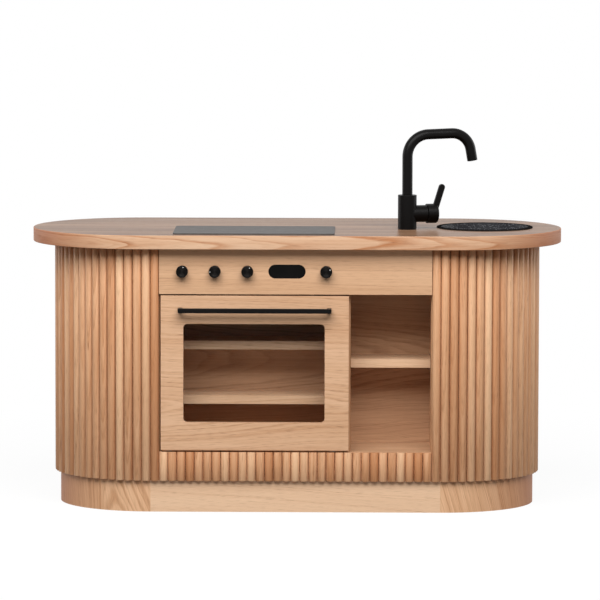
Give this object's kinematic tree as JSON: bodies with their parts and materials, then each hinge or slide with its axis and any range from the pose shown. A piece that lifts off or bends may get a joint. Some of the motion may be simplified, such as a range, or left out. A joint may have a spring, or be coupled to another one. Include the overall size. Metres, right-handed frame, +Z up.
{
  "type": "play kitchen",
  "caption": "Freestanding oak play kitchen with slatted half-round ends, a drop-down glazed oven door, an open niche, turning knobs, a hob, a sink and a swivelling tap.",
  "frame": {"origin": "on the floor at the middle of the plan outline, under the middle of the worktop", "axes": "+X to the right seen from the front, +Y from the front towards the back, +Z up"},
  "size_m": [1.1998, 0.504, 0.8524],
  "materials": {
    "oak_slats": "clear matt lacquer on half-round strips",
    "oak_board": "clear matt lacquer on oak veneered board",
    "oak_bent_board": "clear matt lacquer on bent oak ply",
    "oak_inside": "clear matt lacquer inside the cabinet",
    "oak_worktop": "satin lacquer on an oak board",
    "black_metal": "matt black powder coat",
    "black_knob": "turned and satin black",
    "hob_sheet": "polished grey sheet",
    "display_sheet": "polished black sheet",
    "clear_pane": "clear acrylic pane",
    "sink_enamel": "glossy black enamel with fine flecks",
    "steel": "bright zinc plated",
    "black_plastic": "moulded, fine texture",
    "black_rubber": "flat gasket rubber"
  },
  "bodies": {
    "cabinet": {"left_end_slats": "oak_slats", "right_end_slats": "oak_slats", "back_slats": "oak_slats", "apron_slats": "oak_slats", "plinth_front_board": "oak_board", "plinth_back_board": "oak_board", "control_panel": "oak_board", "plinth_left_end": "oak_bent_board", "plinth_right_end": "oak_bent_board", "left_end_shell": "oak_bent_board", "right_end_shell": "oak_bent_board", "plinth_blocks": "oak_inside", "base_deck": "oak_inside", "left_partition": "oak_inside", "right_partition": "oak_inside", "divider": "oak_inside", "cabinet_floor": "oak_inside", "ceiling_board": "oak_inside", "compartment_back_panel": "oak_inside", "apron_board": "oak_inside", "back_wall": "oak_inside", "top_frame": "oak_inside", "oven_lower_shelf": "oak_inside", "oven_upper_shelf": "oak_inside", "niche_shelf": "oak_inside", "countertop": "oak_worktop", "tap_body": "black_metal", "hob_panel": "hob_sheet", "display_window": "display_sheet", "sink_bowl": "sink_enamel", "shelf_pins": "steel", "sink_strainer": "steel", "knob_nuts": "steel", "hinge_brackets": "steel", "tap_back_nut": "steel", "knob_bushings": "black_plastic", "door_catches": "black_plastic", "tap_gasket": "black_rubber"},
    "oven_door": {"door_panel": "oak_board", "window_pane": "clear_pane", "pane_retainer": "oak_inside", "door_handle": "black_metal", "handle_screws": "steel", "strike_plates": "steel", "hinge_pins": "steel"},
    "knob_1_body": {"knob_1": "black_knob", "knob_shaft_1": "steel"},
    "knob_2_body": {"knob_2": "black_knob", "knob_shaft_2": "steel"},
    "knob_3_body": {"knob_3": "black_knob", "knob_shaft_3": "steel"},
    "knob_4_body": {"knob_4": "black_knob", "knob_shaft_4": "steel"},
    "spout": {"tap_spout": "black_metal", "spout_aerator": "black_plastic"},
    "lever": {"tap_lever": "black_metal", "tap_lever_cap": "black_metal"}
  },
  "joints": [
    {"name": "door_hinge", "type": "hinge", "parent": "cabinet", "child": "oven_door", "pos_m": [-0.091, -0.215, 0.147], "axis": [1, 0, 0], "range_deg": [0, 90]},
    {"name": "knob_1_turn", "type": "hinge", "parent": "cabinet", "child": "knob_1_body", "pos_m": [-0.2535, -0.232, 0.543], "axis": [0, -1, 0], "continuous": true},
    {"name": "knob_2_turn", "type": "hinge", "parent": "cabinet", "child": "knob_2_body", "pos_m": [-0.1806, -0.232, 0.543], "axis": [0, -1, 0], "continuous": true},
    {"name": "knob_3_turn", "type": "hinge", "parent": "cabinet", "child": "knob_3_body", "pos_m": [-0.1077, -0.232, 0.543], "axis": [0, -1, 0], "continuous": true},
    {"name": "knob_4_turn", "type": "hinge", "parent": "cabinet", "child": "knob_4_body", "pos_m": [0.0684, -0.232, 0.543], "axis": [0, -1, 0], "continuous": true},
    {"name": "spout_swivel", "type": "hinge", "parent": "cabinet", "child": "spout", "pos_m": [0.2498, -0.054, 0.703], "axis": [0, 0, 1], "range_deg": [-120, 120]},
    {"name": "lever_turn", "type": "hinge", "parent": "cabinet", "child": "lever", "pos_m": [0.2498, -0.054, 0.6598], "axis": [0.9563, 0.2924, 0], "range_deg": [-45, 45]}
  ]
}
